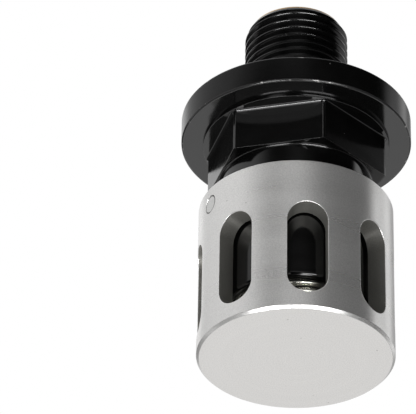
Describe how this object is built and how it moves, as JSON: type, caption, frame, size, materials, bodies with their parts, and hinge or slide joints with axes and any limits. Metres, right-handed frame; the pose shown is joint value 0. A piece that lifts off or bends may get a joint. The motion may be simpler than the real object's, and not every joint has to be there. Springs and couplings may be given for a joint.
{
  "type": "oil drain plug",
  "caption": "Threaded drain plug with a sealing flange and hexagon, and a slotted cap that houses a spring-loaded valve piston.",
  "frame": {"origin": "centre of the cap's flat end, on the plug's axis", "axes": "+Z along the plug's axis towards the threaded spigot; one slot of the cap faces -Y"},
  "size_m": [0.0396, 0.0394, 0.0667],
  "materials": {
    "black_anodised": "glossy black anodised",
    "turned_aluminium": "fine turned",
    "pin_steel": "ground flush",
    "black_piston": "glossy black anodised",
    "seal_rubber": "matt",
    "spring_steel": "bright drawn",
    "washer_aluminium": "satin"
  },
  "bodies": {
    "plug": {"plug_body": "black_anodised", "slotted_cap": "turned_aluminium", "lock_pin": "pin_steel", "return_spring": "spring_steel", "sealing_washer": "washer_aluminium"},
    "piston": {"valve_piston": "black_piston", "seal_disc": "seal_rubber"}
  },
  "joints": [
    {"name": "piston_slide", "type": "slide", "parent": "plug", "child": "piston", "axis": [0, 0, -1], "range_m": [0, 0.0045], "stiffness_N_per_m": 1500, "springref_m": -0.004, "deforming": ["return_spring"]}
  ]
}
